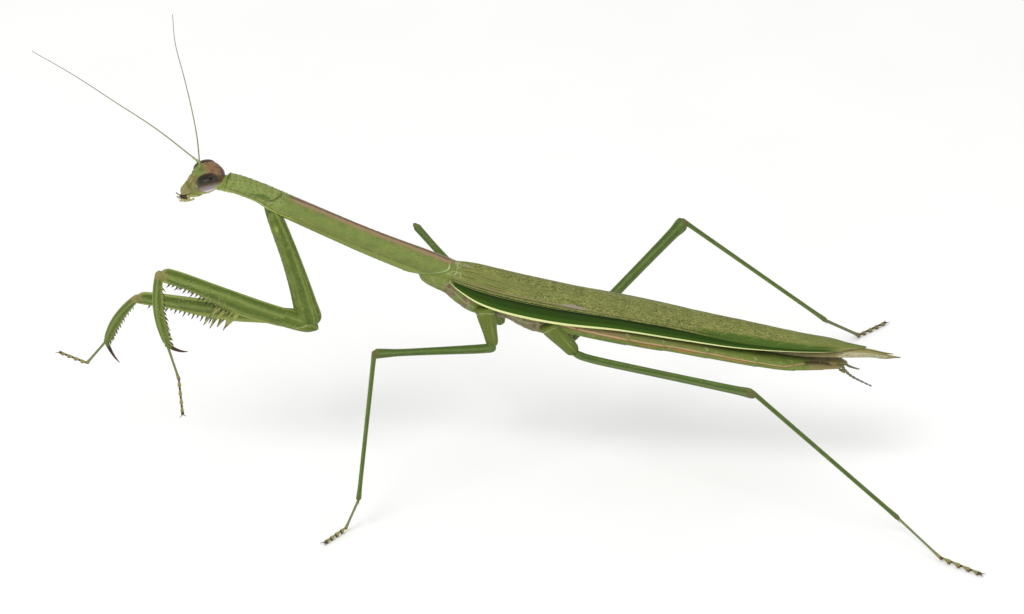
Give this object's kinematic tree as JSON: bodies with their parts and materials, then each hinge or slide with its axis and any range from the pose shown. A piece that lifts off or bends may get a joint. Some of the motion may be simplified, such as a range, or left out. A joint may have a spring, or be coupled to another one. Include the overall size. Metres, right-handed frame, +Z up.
{
  "type": "praying mantis",
  "caption": "Slender green adult praying mantis, life size, standing with its grasping legs reaching forward and one middle leg lifted.",
  "frame": {"origin": "centre of the overall box, at floor level", "axes": "+Z up, the animal faces -Y, its left side is towards +X"},
  "size_m": [0.0622, 0.1186, 0.0672],
  "materials": {
    "head": "satin red-brown and olive cuticle, green front",
    "eye": "smooth, dark above and pale lilac below",
    "mouth": "satin yellow-green with dark jaws",
    "antenna": "fine ringed, green at the base to grey",
    "neck": "soft yellow-green skin",
    "pronotum": "satin green with a pinkish keel",
    "thorax": "soft mauve-brown skin, green plates at the sides",
    "abdomen": "satin green, pinkish-brown along the side",
    "fore_wing": "leathery olive with fine net veins, deep green front field, pale edge",
    "hind_wing": "papery straw-coloured tip",
    "cercus": "ringed grey-brown with fine hairs",
    "fore_leg": "satin green, darker lengthwise bands, dark spine tips",
    "walking_leg": "satin green, brownish knees",
    "toes": "pale straw with brown tips"
  },
  "bodies": {
    "root": {"head": "head", "eye_left": "eye", "eye_right": "eye", "mouthparts": "mouth", "antenna_left": "antenna", "antenna_right": "antenna", "neck": "neck", "pronotum": "pronotum", "pterothorax": "thorax", "abdomen": "abdomen", "tegmen_left": "fore_wing", "tegmen_right": "fore_wing", "hindwing_left": "hind_wing", "hindwing_right": "hind_wing", "cercus_left": "cercus", "cercus_right": "cercus", "fore_coxa_left": "fore_leg", "fore_trochanter_left": "fore_leg", "fore_femur_left": "fore_leg", "fore_tibia_left": "fore_leg", "fore_tarsus_left": "toes", "fore_coxa_right": "fore_leg", "fore_trochanter_right": "fore_leg", "fore_femur_right": "fore_leg", "fore_tibia_right": "fore_leg", "fore_tarsus_right": "toes", "middle_left_coxa": "walking_leg", "middle_left_femur": "walking_leg", "middle_left_tibia": "walking_leg", "middle_left_tarsus": "toes", "middle_right_coxa": "walking_leg", "middle_right_femur": "walking_leg", "middle_right_tibia": "walking_leg", "middle_right_tarsus": "toes", "hind_left_coxa": "walking_leg", "hind_left_femur": "walking_leg", "hind_left_tibia": "walking_leg", "hind_left_tarsus": "toes", "hind_right_coxa": "walking_leg", "hind_right_femur": "walking_leg", "hind_right_tibia": "walking_leg", "hind_right_tarsus": "toes"}
  },
  "joints": []
}
